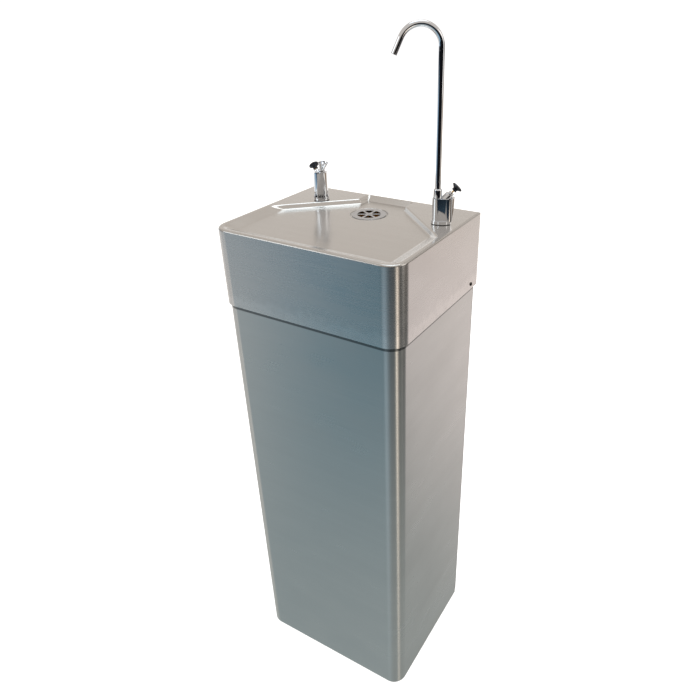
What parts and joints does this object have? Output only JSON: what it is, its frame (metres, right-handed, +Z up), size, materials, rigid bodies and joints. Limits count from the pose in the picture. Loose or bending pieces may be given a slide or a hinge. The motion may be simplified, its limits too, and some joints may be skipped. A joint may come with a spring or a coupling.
{
  "type": "drinking fountain",
  "caption": "Free-standing stainless drinking fountain: basin hood with push-button bubbler and swan-neck bottle filler on a plain pedestal cabinet.",
  "frame": {"origin": "on the floor, under the middle of the hood", "axes": "+Z up; +X to the right and -Y towards the user who faces the fountain"},
  "size_m": [0.3532, 0.285, 1.2477],
  "materials": {
    "hood_steel": "brushed along the front, satin",
    "cabinet_steel": "brushed satin",
    "frame_steel": "mill finish",
    "screw_steel": "bright turned steel",
    "dark_screws": "black oxide",
    "white_plastic": "moulded, slightly satin",
    "strainer_chrome": "polished, lightly worn",
    "tap_chrome": "polished chrome plate",
    "button_chrome": "dark polished chrome plate",
    "brass_fittings": "machined",
    "blue_vinyl": "dipped vinyl",
    "black_rubber": "matt",
    "braided_steel": "braided wire"
  },
  "bodies": {
    "root": {"hood": "hood_steel", "hood_spacers": "white_plastic", "hood_screws": "dark_screws", "hood_nuts": "frame_steel", "cabinet_wrap": "cabinet_steel", "top_rail": "frame_steel", "service_rail": "frame_steel", "base_frame": "frame_steel", "back_panel": "cabinet_steel", "panel_screws": "screw_steel", "strainer": "strainer_chrome", "strainer_screw": "strainer_chrome", "waste_seal": "black_rubber", "waste_body": "brass_fittings", "trap_body": "white_plastic", "trap_cup": "white_plastic", "trap_nuts": "white_plastic", "trap_washers": "black_rubber", "waste_pipe": "white_plastic", "pipe_clip": "white_plastic", "valve_body": "brass_fittings", "valve_seats": "white_plastic", "valve_clamp": "frame_steel", "rail_screws": "screw_steel", "manifold": "brass_fittings", "bubbler_hose": "braided_steel", "filler_hose": "braided_steel", "hose_nuts": "brass_fittings", "hose_washers": "black_rubber", "tap_gaskets": "black_rubber", "tap_washers": "black_rubber", "tap_backnuts": "brass_fittings", "bubbler_body": "tap_chrome", "bubbler_nozzle": "tap_chrome", "bubbler_seat": "brass_fittings", "bubbler_spring": "screw_steel", "bubbler_bonnet": "tap_chrome", "filler_body": "tap_chrome", "neck_nut": "tap_chrome", "neck_seals": "black_rubber", "filler_seat": "brass_fittings", "filler_spring": "screw_steel", "filler_bonnet": "tap_chrome"},
    "bubbler_button": {"bubbler_stem": "brass_fittings", "bubbler_disc": "black_rubber", "bubbler_cap": "button_chrome"},
    "filler_button": {"filler_stem": "brass_fittings", "filler_disc": "black_rubber", "filler_cap": "button_chrome"},
    "spout": {"swan_neck": "tap_chrome", "outlet_insert": "tap_chrome"},
    "valve_handle": {"valve_ball": "tap_chrome", "valve_lever": "frame_steel", "lever_grip": "blue_vinyl", "lever_screw": "screw_steel"}
  },
  "joints": [
    {"name": "bubbler_push", "type": "slide", "parent": "root", "child": "bubbler_button", "axis": [0.6409, -0.2988, -0.7071], "range_m": [0, 0.003], "stiffness_N_per_m": 1200, "springref_m": -0.004, "deforming": ["bubbler_spring"]},
    {"name": "filler_push", "type": "slide", "parent": "root", "child": "filler_button", "axis": [-0.5647, -0.4255, -0.7071], "range_m": [0, 0.003], "stiffness_N_per_m": 1200, "springref_m": -0.004, "deforming": ["filler_spring"]},
    {"name": "spout_swivel", "type": "hinge", "parent": "root", "child": "spout", "pos_m": [0.136, 0.0535, 1], "axis": [0, 0, 1], "range_deg": [-90, 90]},
    {"name": "stop_valve_turn", "type": "hinge", "parent": "root", "child": "valve_handle", "pos_m": [0.03, 0.092, 0.3], "axis": [0, 1, 0], "range_deg": [0, 90]}
  ]
}
